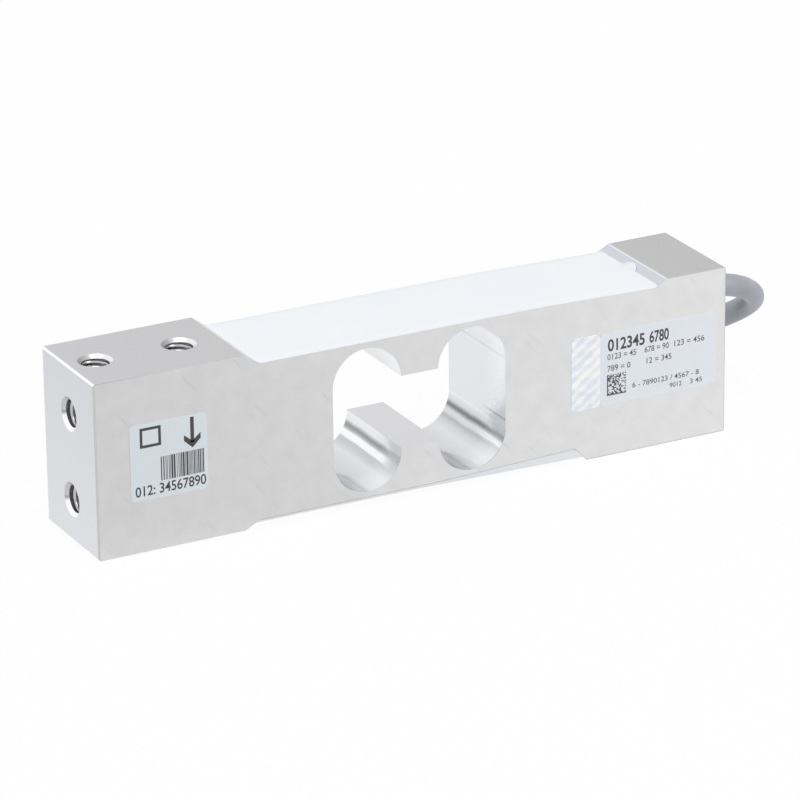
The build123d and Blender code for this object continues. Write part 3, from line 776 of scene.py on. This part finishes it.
def aluminium_material():
    """Fine-blasted sides, milled tops painted darker, cut edges painted bright, and smoother bored walls in
    the window.
    """
    material = new_material("body_aluminium", METAL_TINT, METAL_ROUGHNESS, metallic=1.0)
    graph = BlockGraph(material)
    cloud = graph.spread(graph.noise(CLOUD_SCALE, detail=5.0), 0.0, 1.0)
    grain = graph.noise(GRAIN_SCALE)
    window = window_mask(graph)
    distance, angle = nearer_eye(graph)
    share = arc_share(graph, angle)

    tint = outer_tint(graph, cloud)
    tint = graph.mix(window, tint, window_tint(graph, distance, share))
    tint = graph.mix(graph.product(dark_wall_lines(graph), window), tint, MARK_TINT)
    tint, cut = cut_edges(graph, tint)
    # Painted shade on the walls of the tapped holes
    tint = graph.mix(hole_mask(graph), tint, HOLE_SHADE)
    tint = painted_edge_lines(graph, tint, distance, share)
    graph.join(tint, graph.shader.inputs["Base Color"])

    rough = graph.spread(grain, *ROUGHNESS_SPAN)
    smoother = graph.either(graph.maths("MULTIPLY", window, WINDOW_SMOOTHER),
                            graph.maths("MULTIPLY", cut, CUT_SMOOTHER))
    graph.join(graph.maths("SUBTRACT", rough, smoother), graph.shader.inputs["Roughness"])
    height = graph.maths("ADD", graph.maths("MULTIPLY", grain, GRAIN_SHARE),
                         graph.maths("MULTIPLY", cloud, CLOUD_SHARE))
    flatter = graph.either(window, graph.spread(graph.face_z, 0.0, TOP_FLATTER, *SQUARE_ON))
    graph.bump(height, graph.maths("MULTIPLY", graph.opposite(flatter), GRAIN_BUMP), GRAIN_HEIGHT)
    return material


def plain_material(name, colour, roughness, metallic=0.0, mottle=0.06, scale=900.0, bump=0.1):
    """Surface with a slight unevenness of colour, gloss and height."""
    material = new_material(name, colour, roughness, metallic)
    graph = Graph(material)
    noise = graph.noise(scale, detail=3.0)
    dark = tuple(c * (1 - mottle) for c in colour)
    light = tuple(min(1.0, c * (1 + mottle)) for c in colour)
    tint = graph.mix(graph.spread(noise, 0.0, 1.0), dark, light)
    rough = graph.spread(noise, roughness * 0.9, min(1.0, roughness * 1.12))
    graph.join(tint, graph.shader.inputs["Base Color"])
    graph.join(rough, graph.shader.inputs["Roughness"])
    graph.bump(noise, bump, 0.05 * MM)
    return material


def dress(node, material):
    """Gives a CAD node its material."""
    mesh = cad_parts[node].data
    mesh.materials.clear()
    mesh.materials.append(material)


def new_piece(name, mesh, material):
    piece = bpy.data.objects.new(name, mesh)
    bpy.context.scene.collection.objects.link(piece)
    mesh.materials.append(material)
    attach(piece, BODY)
    return piece


def mesh_piece(name, builder, material, smooth_deg=None):
    """New piece from a bmesh that a function fills."""
    shape = bmesh.new()
    builder(shape)
    bmesh.ops.recalc_face_normals(shape, faces=shape.faces)
    mesh = bpy.data.meshes.new(name)
    shape.to_mesh(mesh)
    shape.free()
    piece = new_piece(name, mesh, material)
    if smooth_deg is not None:
        mesh.shade_smooth()
        mesh.set_sharp_from_angle(angle=math.radians(smooth_deg))
    return piece


def along(line, x):
    """Height of a broken line at x."""
    for (x0, z0), (x1, z1) in zip(line, line[1:]):
        if x <= x1:
            return z0 + (z1 - z0) * (x - x0) / (x1 - x0)
    return line[-1][1]


def compound_drop(y, half):
    """How far the surface sinks towards a long edge."""
    inset = half - abs(y)
    share = max(0.0, 1 - inset / SHOULDER_WIDTH)
    edge = max(0.0, 1 - inset / EDGE_ROUND)
    return SHOULDER_DROP * share ** 2 + EDGE_SINK * edge ** 2


def close_sheet(shape, top, bottom):
    """Faces over and under two grids of corners, and round their edges."""
    for grid in (top, bottom):
        for first, second in zip(grid, grid[1:]):
            for row in range(COMPOUND_ROWS):
                shape.faces.new((first[row], second[row], second[row + 1], first[row + 1]))
    for column in range(COMPOUND_COLUMNS):
        after = column + 1
        for row in (0, COMPOUND_ROWS):
            shape.faces.new((top[column][row], top[after][row], bottom[after][row], bottom[column][row]))
    for over, under in ((top[0], bottom[0]), (top[-1], bottom[-1])):
        for row in range(COMPOUND_ROWS):
            shape.faces.new((over[row], over[row + 1], under[row + 1], under[row]))


def build_compound(shape):
    """Sheet of compound with soft shoulders, blocks that fill its pockets, and the shaft's plug."""
    half = (BLOCK_HIGH.y - BLOCK_LOW.y) / 2 / MM
    start, end = COMPOUND_LINE[0][0], COMPOUND_LINE[-1][0]
    floor_start, floor_end = RECESS_LINE[0][0], RECESS_LINE[-1][0]
    sides = [-half * math.cos(math.pi * row / COMPOUND_ROWS) for row in range(COMPOUND_ROWS + 1)]
    top, bottom = [], []
    for column in range(COMPOUND_COLUMNS + 1):
        share = column / COMPOUND_COLUMNS
        climb = max(0.0, 1 - min(share, 1 - share) * (end - start) / MENISCUS_LENGTH)
        floor_x = floor_start + (floor_end - floor_start) * share
        upper, lower = [], []
        for y in sides:
            corner = max(0.0, 1 - (half - abs(y)) / CORNER_WIDTH)
            back = CORNER_BACK * corner ** 2 * share
            x = start + (end - start) * share - back
            level = along(COMPOUND_LINE, x)
            room = level - along(RECESS_LINE, floor_x) - SHOULDER_LEAST
            z = level - min(room, compound_drop(y, half)) + MENISCUS_RISE * climb ** 2
            below = (floor_x - back, y, along(RECESS_LINE, floor_x - back))
            upper.append(shape.verts.new(Vector((x, y, z)) * MM))
            lower.append(shape.verts.new(Vector(below) * MM))
        top.append(upper)
        bottom.append(lower)
    close_sheet(shape, top, bottom)
    for low, high in (GAUGE_POCKET, BOARD_POCKET):
        add_box(shape, low, high)
    add_plug(shape, BOARD_POCKET[0][2], along(COMPOUND_LINE, end))


def close_rings(shape, rings):
    """Faces between neighbouring rings, and over the first and the last one."""
    count = len(rings[0])
    for first, second in zip(rings, rings[1:]):
        for index in range(count):
            after = (index + 1) % count
            shape.faces.new((first[index], first[after], second[after], second[index]))
    shape.faces.new(rings[0])
    shape.faces.new(rings[-1])


def add_plug(shape, low, high):
    """Plug of compound in the wiring shaft, from its foot up to its rounded top."""
    middle_x, middle_y = SHAFT_PLACE
    rings = []
    for share, drop in [(1.0, None), *PLUG_RINGS]:
        ring = []
        for index in range(PLUG_STEPS):
            angle = 2 * math.pi * index / PLUG_STEPS
            x = middle_x + SHAFT_RADIUS * share * math.cos(angle)
            y = middle_y + SHAFT_RADIUS * share * math.sin(angle)
            climb = PLUG_CLIMB * max(0.0, x - PLUG_CLIMB_START)
            z = low if drop is None else high + climb - drop
            ring.append(shape.verts.new(Vector((x, y, z)) * MM))
        rings.append(ring)
    close_rings(shape, rings)


def add_box(shape, low, high):
    """Box between two corners in millimetres."""
    result = bmesh.ops.create_cube(shape, size=1.0)
    low, high = Vector(low) * MM, Vector(high) * MM
    for vert in result["verts"]:
        vert.co = Vector([(low[i] + high[i]) / 2 + vert.co[i] * (high[i] - low[i]) for i in range(3)])


def add_thread(shape, mouth, inward, length):
    """Ridge of an internal thread that winds inward from a hole's mouth."""
    mouth, inward = Vector(mouth), Vector(inward)
    across = inward.orthogonal().normalized()
    over = inward.cross(across)
    count = int(length / THREAD_PITCH * THREAD_STEPS)
    profile = [
        (THREAD_MAJOR, -THREAD_ROOT_SHARE),
        (THREAD_MINOR, -THREAD_CREST_SHARE),
        (THREAD_MINOR, THREAD_CREST_SHARE),
        (THREAD_MAJOR, THREAD_ROOT_SHARE),
    ]
    rings = []
    for index in range(count + 1):
        angle = 2 * math.pi * index / THREAD_STEPS
        fade = min(1.0, index / THREAD_STEPS, (count - index) / THREAD_STEPS)
        outward = across * math.cos(angle) + over * math.sin(angle)
        depth = THREAD_MOUTH + THREAD_PITCH * (0.5 + index / THREAD_STEPS)
        ring = []
        for radius, offset in profile:
            reach = THREAD_MAJOR - (THREAD_MAJOR - radius) * max(fade, THREAD_LEAST)
            along_axis = depth + offset * THREAD_PITCH
            ring.append(shape.verts.new(mouth + outward * reach + inward * along_axis))
        rings.append(ring)
    close_rings(shape, rings)


def build_threads(shape):
    for step in range(2):
        inset = HOLE_INSET + step * HOLE_PITCH
        add_thread(shape, (BLOCK_LOW.x + inset, 0, LOAD_TOP), (0, 0, -1), TOP_THREAD)
        height = END_ROW_MIDDLE + (step - 0.5) * HOLE_PITCH
        add_thread(shape, (BLOCK_LOW.x, 0, height), (1, 0, 0), END_THREAD)
        add_thread(shape, (BLOCK_HIGH.x - inset, 0, BLOCK_LOW.z), (0, 0, 1), END_THREAD)


def ink_patch(shape, points):
    """Thin raised patch of ink on a label's face; points are X and Z in millimetres."""
    back = [shape.verts.new((x * MM, LABEL_FACE, z * MM)) for x, z in points]
    face = [shape.verts.new((x * MM, LABEL_FACE - INK_LIFT, z * MM)) for x, z in points]
    shape.faces.new(back)
    shape.faces.new(face)
    for index in range(len(points)):
        after = (index + 1) % len(points)
        shape.faces.new((back[index], back[after], face[after], face[index]))


def ink_box(shape, x0, x1, z0, z1):
    ink_patch(shape, [(x0, z0), (x1, z0), (x1, z1), (x0, z1)])


def build_arrow(shape):
    """Plain arrow that points down, the way the load acts."""
    ink_box(shape, ARROW_X - ARROW_HALF_LINE, ARROW_X + ARROW_HALF_LINE, ARROW_KNEE, ARROW_TOP)
    for side in (-1, 1):
        end = ARROW_X + side * BARB_REACH
        ink_patch(shape, [
            (ARROW_X, ARROW_TIP),
            (ARROW_X, ARROW_TIP + BARB_INNER_RISE),
            (end, ARROW_TIP + BARB_UPPER_RISE),
            (end, ARROW_TIP + BARB_LOWER_RISE),
        ])


def build_serial_ink(shape):
    """Arrow, a plain square and a field of bars."""
    build_arrow(shape)
    left, right, low, high = SERIAL_SQUARE
    line = SQUARE_LINE
    ink_box(shape, left, right, low, low + line)
    ink_box(shape, left, right, high - line, high)
    ink_box(shape, left, left + line, low + line, high - line)
    ink_box(shape, right - line, right, low + line, high - line)
    chance = random.Random(BARS_SEED)
    start, end, foot, top = SERIAL_BARS
    x = start
    while x < end - LAST_BAR_ROOM:
        width = chance.choice(BAR_WIDTHS)
        ink_box(shape, x, min(x + width, end), foot, top)
        x += width + chance.choice(BAR_GAPS)


def build_rating_ink(shape):
    """Square field of cells: solid on two sides, alternating on the other two, and mixed inside."""
    chance = random.Random(CELLS_SEED)
    left, right, low, high = RATING_BLOCK
    width = (right - left) / BLOCK_CELLS
    height = (high - low) / BLOCK_CELLS
    ink_box(shape, left, left + width, low, high)
    ink_box(shape, left + width, right, low, low + height)
    for column in range(1, BLOCK_CELLS):
        for row in range(1, BLOCK_CELLS):
            edge = column == BLOCK_CELLS - 1 or row == BLOCK_CELLS - 1
            dark = (column + row) % 2 == 0 if edge else chance.random() < DARK_CELLS
            if dark:
                x, z = left + column * width, low + row * height
                ink_box(shape, x, x + width * CELL_FILL, z, z + height * CELL_FILL)


def print_line(name, text, left, right, low, height, weight, material):
    """Line of plain digits that fills a width, in millimetres, on a label's face."""
    data = bpy.data.curves.new(name, "FONT")
    data.body = text
    data.size = 1.0
    data.offset = weight
    data.extrude = TEXT_HALF_DEPTH
    text_object = bpy.data.objects.new(name + "_text", data)
    bpy.context.scene.collection.objects.link(text_object)
    bpy.context.view_layer.update()
    evaluated = text_object.evaluated_get(bpy.context.evaluated_depsgraph_get())
    mesh = bpy.data.meshes.new_from_object(evaluated)
    bpy.data.objects.remove(text_object)
    corners = [vert.co.copy() for vert in mesh.vertices]
    x0, x1 = min(c.x for c in corners), max(c.x for c in corners)
    y0, y1 = min(c.y for c in corners), max(c.y for c in corners)
    for vert, corner in zip(mesh.vertices, corners):
        x = left + (right - left) * (corner.x - x0) / (x1 - x0)
        z = low + height * (corner.y - y0) / (y1 - y0)
        depth = LABEL_FACE - INK_LIFT * (corner.z + TEXT_HALF_DEPTH)
        vert.co = Vector((x * MM, depth, z * MM))
    mesh.materials.clear()
    return new_piece(name, mesh, material)


def label_material():
    """Coated paper, a touch blue."""
    material = new_material("label", (0.76, 0.79, 0.83), 0.42)
    graph = Graph(material)
    fibre = graph.noise(900.0, detail=3.0)
    mottle = graph.spread(fibre, 0.0, 1.0)
    x = graph.axis(graph.place(), "X")
    along_block = graph.spread(x, 0.0, 1.0, BLOCK_LOW.x, BLOCK_HIGH.x)
    # Painted light: the paper is lighter towards the cable end
    tint = graph.mix(along_block, graph.mix(mottle, *LOAD_PAPER_TINTS), graph.mix(mottle, *CABLE_PAPER_TINTS))
    graph.join(tint, graph.shader.inputs["Base Color"])
    graph.join(graph.spread(fibre, 0.4, 0.46), graph.shader.inputs["Roughness"])
    graph.bump(fibre, 0.02, 0.01 * MM)
    return material


def strip_material():
    """Shimmering film with slanted pale stripes."""
    material = new_material("label_strip", (0.8, 0.83, 0.86), 0.25, metallic=0.25)
    graph = Graph(material)
    place = graph.place()
    x, z = graph.axis(place, "X"), graph.axis(place, "Z")
    slanted = graph.maths("SUBTRACT", z, graph.maths("MULTIPLY", x, STRIPE_SLANT))
    crossing = graph.maths("ADD", z, graph.maths("MULTIPLY", x, CROSS_SLANT))
    stripes = graph.maths("SINE", graph.maths("MULTIPLY", slanted, 2 * math.pi / STRIPE_PITCH))
    crosses = graph.maths("SINE", graph.maths("MULTIPLY", crossing, 2 * math.pi / CROSS_PITCH))
    blotch = graph.spread(graph.noise(420.0, detail=3.0), -0.9, 0.9)
    waves = graph.maths("ADD", stripes, graph.maths("MULTIPLY", crosses, CROSS_SHARE))
    value = graph.maths("ADD", waves, blotch)
    cool = graph.mix(graph.spread(value, 0.0, 1.0, -1.4, 0.0), STRIPE_BLUE, STRIPE_MIDDLE)
    tint = graph.mix(graph.spread(value, 0.0, 1.0, 0.0, 1.4), cool, STRIPE_WARM)
    graph.join(tint, graph.shader.inputs["Base Color"])
    graph.join(graph.spread(value, 0.18, 0.34, -1.0, 1.0), graph.shader.inputs["Roughness"])
    return material


def make_labels():
    paper = label_material()
    dress("serial_label", paper)
    dress("rating_label", paper)
    dress("security_strip", strip_material())
    black = plain_material("label_ink", (0.055, 0.05, 0.05), 0.5, mottle=0.15, scale=4000.0, bump=0.02)
    grey = plain_material("label_ink_grey", (0.1, 0.097, 0.105), 0.5, mottle=0.15, scale=4000.0, bump=0.02)
    mesh_piece("serial_ink", build_serial_ink, black)
    mesh_piece("rating_ink", build_rating_ink, grey)
    for ink, lines in ((black, BLACK_PRINT), (grey, GREY_PRINT)):
        for line in lines:
            print_line(*line, ink)


def potting_material(name, side):
    """White silicone-like compound with a slow waviness, and painted shade on its long sides."""
    material = new_material(name, (0.93, 0.96, 0.99), 0.4)
    graph = Graph(material)
    cloud = graph.noise(45.0)
    normal = graph.add("ShaderNodeNewGeometry").outputs["True Normal"]
    sideways = graph.spread(graph.size(graph.axis(normal, "Y")), 0.0, 1.0, 0.05, 0.8)
    face = graph.mix(graph.spread(cloud, 0.0, 1.0), *POTTING_TINTS)
    # Painted shade on the long sides
    graph.join(graph.mix(sideways, face, side), graph.shader.inputs["Base Color"])
    graph.join(graph.spread(graph.noise(700.0), 0.36, 0.46), graph.shader.inputs["Roughness"])
    graph.bump(cloud, 0.12, 0.4 * MM)
    return material


def make_curve(name, points, diameter, material):
    """Round piece along a NURBS spline."""
    curve = bpy.data.curves.new(name, "CURVE")
    curve.dimensions = "3D"
    curve.bevel_depth = diameter / 2
    curve.bevel_resolution = ROUND_STEPS
    curve.use_fill_caps = True
    spline = curve.splines.new("NURBS")
    spline.points.add(len(points) - 1)
    for point, place in zip(spline.points, points):
        point.co = (*place, 1)
    spline.order_u = 3
    spline.use_endpoint_u = True
    spline.resolution_u = CURVE_STEPS
    return new_piece(name, curve, material)


def fold_points():
    """Control points of the hank's folds, each half a turn about one of its two middles."""
    step = math.radians(FOLD_STEP_DEG)
    count = int(180 / FOLD_STEP_DEG)
    points = []
    for side, shift, radius, start_z, end_z in FOLDS:
        west = side == "west"
        middle = (HANK_WEST if west else HANK_EAST) + Vector((0, shift, 0))
        for index in range(count):
            share = (index + 0.5) / count
            turn = (index + 0.5) * step - math.pi / 2
            reach = radius / math.cos(step / 2)
            x = -math.cos(turn) if west else math.cos(turn)
            y = math.sin(turn) if west else -math.sin(turn)
            height = start_z + (end_z - start_z) * share
            points.append(middle + Vector((x * reach, y * reach, height)))
    return points


def lead_points(end, direction, index, count):
    """A lead's way from the jacket's end to the floor, fanned out from its neighbours."""
    around = [math.radians(360 / (count - 1) * k) for k in range(count - 1)]
    places = [(0.0, 0.0)] + [(LEAD_PITCH * math.cos(angle), LEAD_PITCH * math.sin(angle)) for angle in around]
    places.sort(key=lambda place: (round(place[0], 6), place[1]))
    side, height = places[index]
    ahead = Vector((direction.x, direction.y, 0)).normalized()
    sideways = Vector((-ahead.y, ahead.x, 0))
    fan = math.radians((index - (count - 1) / 2) * LEAD_FAN_DEG)
    heading = ahead * math.cos(fan) + sideways * math.sin(fan)
    start = end + sideways * side + direction.cross(sideways) * height
    ground = Vector((end.x, end.y, LEAD_DIAMETER / 2))
    return [
        start,
        start + direction * LEAD_STRAIGHT,
        ground + heading * LEAD_LANDING,
        ground + heading * (LEAD_LENGTH - TIP_LENGTH),
        ground + heading * LEAD_LENGTH,
    ]


def make_leads(end, direction):
    """Six cores and the shield lead, each with a tinned tip, fanned out at the cable's end."""
    colours = list(CORE_COLOURS.items())
    colours.insert(len(colours) // 2, ("solder", SHIELD_COLOUR))
    tinned = plain_material("tinned_wire", (0.75, 0.74, 0.7), 0.3, metallic=1.0)
    leads = []
    for index, (slot, colour) in enumerate(colours):
        skin = plain_material(f"lead_{slot}", colour, 0.45, metallic=1.0 if slot == "solder" else 0.0)
        way = lead_points(end, direction, index, len(colours))
        tip_start, tip_end = way[3], way[4]
        tip_way = [tip_start, (tip_start + tip_end) / 2, tip_end]
        leads.append(make_curve(f"lead_{index + 1}", way[:4], LEAD_DIAMETER, skin))
        leads.append(make_curve(f"lead_tip_{index + 1}", tip_way, TIP_DIAMETER, tinned))
    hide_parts("lead_ends")
    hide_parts("lead_tips")
    return leads


def make_cable():
    """Cable as one curve from its bore to its bare end, with the tie and the leads as pieces on it."""
    sheath = plain_material("cable_sheath", (0.36, 0.375, 0.412), 0.34, mottle=0.09, scale=230.0, bump=0.12)
    route = [Vector(point) * MM for point in CABLE_ROUTE]
    tail = [Vector(point) * MM for point in CABLE_TAIL]
    points = route + fold_points() + tail
    cable = make_curve("cable", points, CABLE_DIAMETER, sheath)
    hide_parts("cable_jacket", "cable_hank", "cable_tail")
    dress("cable_inner", sheath)
    dress("hank_tie", plain_material("tie", (0.03, 0.03, 0.032), 0.7, mottle=0.3, scale=3000.0, bump=0.4))
    leads = make_leads(tail[-1], (tail[-1] - tail[-2]).normalized())


def dress_inner_pieces():
    """Bottom compound, seal, and the pieces inside, which show only when the part is taken apart."""
    dress("bottom_potting", potting_material("bottom_potting", BOTTOM_SIDE_SHADE))
    dress("cable_seal", plain_material("seal", (0.05, 0.05, 0.055), 0.6))
    dress("terminal_board", plain_material("board", (0.05, 0.24, 0.09), 0.4))
    dress("solder_joints", plain_material("solder", (0.72, 0.72, 0.7), 0.3, metallic=1.0))
    dress("clamp_sleeve", plain_material("sleeve_steel", (0.6, 0.6, 0.61), 0.3, metallic=1.0))
    resistor = plain_material("resistor", (0.03, 0.03, 0.035), 0.5)
    for name in ("span_resistor", "zero_resistor", "input_resistor"):
        dress(name, resistor)
    carrier = plain_material("gauge_carrier", (0.6, 0.36, 0.08), 0.3)
    foil = plain_material("gauge_foil", (0.72, 0.6, 0.42), 0.3, metallic=1.0)
    film = plain_material("flex_film", (0.55, 0.3, 0.07), 0.35)
    for side in ("top", "bottom"):
        dress(f"flex_{side}", film)
        for end in ("load", "fixed"):
            dress(f"gauge_carrier_{side}_{end}", carrier)
            dress(f"gauge_foil_{side}_{end}", foil)
    for index, colour in enumerate(CORE_COLOURS.values()):
        dress(f"inner_core_{index + 1}", plain_material(f"core_{index + 1}", colour, 0.45))


def make_block():
    dress("spring_body", aluminium_material())
    # The threads are darker than the block's metal: painted shade inside the holes
    threads = plain_material("thread_aluminium", (0.5, 0.5, 0.51), 0.16, metallic=1.0, mottle=0.1,
                             scale=1500.0, bump=0.05)
    mesh_piece("screw_threads", build_threads, threads, smooth_deg=50)
    potting = potting_material("potting", TOP_SIDE_SHADE)
    compound = mesh_piece("top_compound", build_compound, potting, smooth_deg=40)
    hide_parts("top_potting")


bpy.context.scene.view_settings.view_transform = "Standard"
make_camera()
make_world()
make_floor()
make_lights()
make_block()
make_labels()
make_cable()
dress_inner_pieces()
